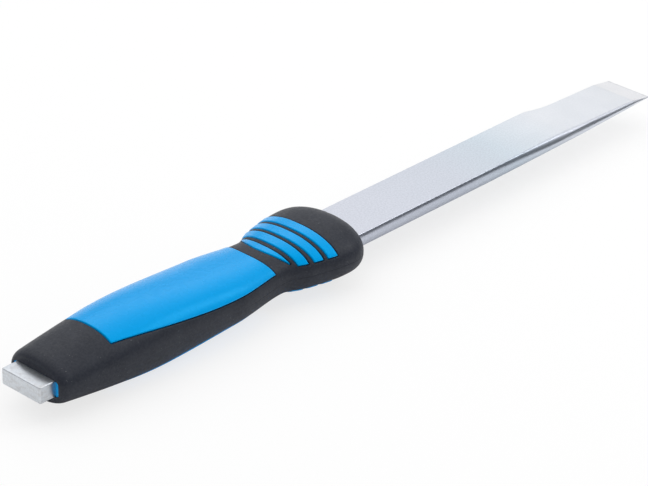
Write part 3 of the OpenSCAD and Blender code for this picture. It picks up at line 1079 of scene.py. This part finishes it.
def grip_material():
    """Matt soft grip with a fine grain and a little dust."""
    material, tree, shader = new_material("soft_grip")
    place = node(tree, "ShaderNodeTexCoord").outputs["Object"]
    greyer = patches(tree, grain(tree, place, GRIP_PATCHES, 4), 0.3, 0.7, 1)
    colour = tinted(tree, GRIP_BLACK, greyer, GRIP_GREY)
    fine = patches(tree, grain(tree, place, FINE_GRAIN, 3), 0.4, 0.6, FINE_MOST)
    colour = tinted(tree, colour, fine, FINE_COLOUR)
    dust = patches(tree, grain(tree, place, DUST_GRAIN, 1), 0.72, 0.78, DUST_MOST)
    colour = tinted(tree, colour, dust, DUST_COLOUR)
    tree.links.new(colour, shader.inputs["Base Color"])
    rough = span(tree, grain(tree, place, GRIP_ROUGH_GRAIN), 0.3, 0.7, *GRIP_ROUGH)
    tree.links.new(rough, shader.inputs["Roughness"])
    shader.inputs["Specular IOR Level"].default_value = GRIP_SHINE
    bump(tree, shader, grain(tree, place, GRIP_RELIEF_GRAIN, 3), GRIP_RELIEF, GRIP_RELIEF_STRENGTH)
    return material


pieces["blade"].data.materials.append(steel_material())
pieces["core"].data.materials.append(plastic_material())
pieces["grip"].data.materials.append(grip_material())


# Camera fitted to the photograph: millimetres, degrees, and pixels for its focal length
CAMERA_AT = (-478.45, -562.49, 449.60)
CAMERA_AZ, CAMERA_EL, CAMERA_ROLL = -47.181, 28.639, 0.991
FOCAL_PX, PHOTO_W, SENSOR = 2955.7, 648, 36.0


def add_camera():
    """The camera, from its place, its direction and its roll."""
    az, el, roll = (math.radians(v) for v in (CAMERA_AZ, CAMERA_EL, CAMERA_ROLL))
    back = Vector((math.sin(az) * math.cos(el), -math.cos(az) * math.cos(el), math.sin(el)))
    right = Vector((math.cos(az), math.sin(az), 0))
    up = back.cross(right)
    rolled_right = math.cos(roll) * right + math.sin(roll) * up
    rolled_up = math.cos(roll) * up - math.sin(roll) * right
    data = bpy.data.cameras.new("camera")
    data.sensor_width = SENSOR
    data.lens = FOCAL_PX / PHOTO_W * SENSOR
    data.clip_start = 0.01
    camera = bpy.data.objects.new("camera", data)
    turn = Matrix((rolled_right, rolled_up, back)).transposed().to_4x4()
    camera.matrix_world = Matrix.Translation(Vector(CAMERA_AT) * MM) @ turn
    bpy.context.scene.collection.objects.link(camera)
    bpy.context.scene.camera = camera


add_camera()


# Half side of the floor in metres; the share of plain white that the camera sees in it
# near the tool, and the distances over which that grows to the whole
FLOOR_R = 4.0
FLOOR_GLOW = 0.75
FLOOR_NEAR_FAR = (0.35, 1.2)
FLOOR_ROUGH = 0.8


def add_floor():
    """Plain white floor under the tool, whose shadow shows pale to the camera."""
    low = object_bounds()[0][2]
    corners = [(-1, -1), (1, -1), (1, 1), (-1, 1)]
    mesh = bpy.data.meshes.new("floor")
    mesh.from_pydata([(x * FLOOR_R, y * FLOOR_R, low) for x, y in corners], [], [(0, 1, 2, 3)])
    floor = bpy.data.objects.new("floor", mesh)
    bpy.context.scene.collection.objects.link(floor)
    material, tree, shader = new_material("floor")
    shader.inputs["Base Color"].default_value = WHITE
    shader.inputs["Roughness"].default_value = FLOOR_ROUGH
    shader.inputs["Specular IOR Level"].default_value = 0.0
    glow = node(tree, "ShaderNodeEmission")
    seen = node(tree, "ShaderNodeLightPath")
    mixed = node(tree, "ShaderNodeMixShader")
    away = node(tree, "ShaderNodeVectorMath", operation="LENGTH")
    tree.links.new(node(tree, "ShaderNodeTexCoord").outputs["Object"], away.inputs[0])
    share = span(tree, away.outputs["Value"], *FLOOR_NEAR_FAR, FLOOR_GLOW, 1)
    tree.links.new(times(tree, seen.outputs["Is Camera Ray"], share), mixed.inputs[0])
    tree.links.new(shader.outputs[0], mixed.inputs[1])
    tree.links.new(glow.outputs[0], mixed.inputs[2])
    tree.links.new(mixed.outputs[0], tree.nodes["Material Output"].inputs["Surface"])
    floor.data.materials.append(material)


add_floor()


def background(tree, strength, colour=None):
    """World light of a strength, white unless a colour's socket is given."""
    made = node(tree, "ShaderNodeBackground")
    made.inputs["Color"].default_value = WHITE
    made.inputs["Strength"].default_value = strength
    if colour is not None:
        tree.links.new(colour, made.inputs["Color"])
    return made.outputs[0]


# Strength of the room's soft light; power in watts, side and place in metres of the lamp
ROOM_LIGHT = 0.5
LAMP_W, LAMP_SIDE, LAMP_AT = 11.6, 2.0, (0.25, 0.35, 1.15)
# A small soft lamp low in front, for the gleam along the handle's near shoulder
GLEAM_W, GLEAM_SIDE, GLEAM_AT = 1.8, 0.4, (0.77, -0.53, 0.74)
# What shine shows of the room, by the height of its direction: in front, then behind the tool
SHOWN_IN_FRONT = [
    (0.0, (0.05, 0.055, 0.065)),
    (0.22, (0.07, 0.075, 0.085)),
    (0.45, (0.80, 0.81, 0.83)),
    (0.8, (0.40, 0.41, 0.43)),
]
SHOWN_BEHIND = [
    (0.19, (1.0, 1.0, 1.0)),
    (0.29, (0.42, 0.43, 0.45)),
    (0.46, (0.42, 0.43, 0.45)),
    (0.58, (1.0, 1.0, 1.0)),
    (0.82, (0.15, 0.15, 0.16)),
]
# Parts of the direction along Y over which the front turns into the back, and along X over
# which a share of the dark left side fades out
FRONT_TO_BACK, LEFT_TO_RIGHT = (-0.3, 0.25), (-0.35, 0.1)
LEFT_SHARE, LEFT_COLOUR = 0.45, (0.04, 0.045, 0.055, 1)


def add_light():
    """Soft room light, white to the camera; shine shows the room's bright and dark parts."""
    world = bpy.data.worlds.new("studio")
    world.use_nodes = True
    tree = world.node_tree
    direction = node(tree, "ShaderNodeTexCoord").outputs["Generated"]
    axes = node(tree, "ShaderNodeSeparateXYZ")
    tree.links.new(direction, axes.inputs[0])
    in_front = ramp(tree, axes.outputs["Z"], SHOWN_IN_FRONT)
    behind = ramp(tree, axes.outputs["Z"], SHOWN_BEHIND)
    dome = tinted(tree, in_front, span(tree, axes.outputs["Y"], *FRONT_TO_BACK, 0, 1), behind)
    left = span(tree, axes.outputs["X"], *LEFT_TO_RIGHT, LEFT_SHARE, 0)
    dome = tinted(tree, dome, left, LEFT_COLOUR)
    seen = node(tree, "ShaderNodeLightPath")
    surface = background(tree, ROOM_LIGHT)
    to_shine, to_camera = background(tree, 1.0, dome), background(tree, 1.0)
    for ray, shown in (("Is Glossy Ray", to_shine), ("Is Camera Ray", to_camera)):
        mixed = node(tree, "ShaderNodeMixShader")
        tree.links.new(seen.outputs[ray], mixed.inputs[0])
        tree.links.new(surface, mixed.inputs[1])
        tree.links.new(shown, mixed.inputs[2])
        surface = mixed.outputs[0]
    tree.links.new(surface, tree.nodes["World Output"].inputs["Surface"])
    bpy.context.scene.world = world


def add_lamp(name, watts, side, at):
    """A square soft lamp that faces the middle of the tool."""
    data = bpy.data.lights.new(name, "AREA")
    data.shape = "SQUARE"
    data.size = side
    data.energy = watts
    lamp = bpy.data.objects.new(name, data)
    aim = Vector((OVERALL_LEN / 2 * MM, 0, 0)) - Vector(at)
    turn = aim.to_track_quat("-Z", "Y").to_matrix().to_4x4()
    lamp.matrix_world = Matrix.Translation(at) @ turn
    bpy.context.scene.collection.objects.link(lamp)


add_light()
add_lamp("overhead", LAMP_W, LAMP_SIDE, LAMP_AT)
add_lamp("gleam", GLEAM_W, GLEAM_SIDE, GLEAM_AT)

bpy.context.scene.view_settings.view_transform = "Standard"
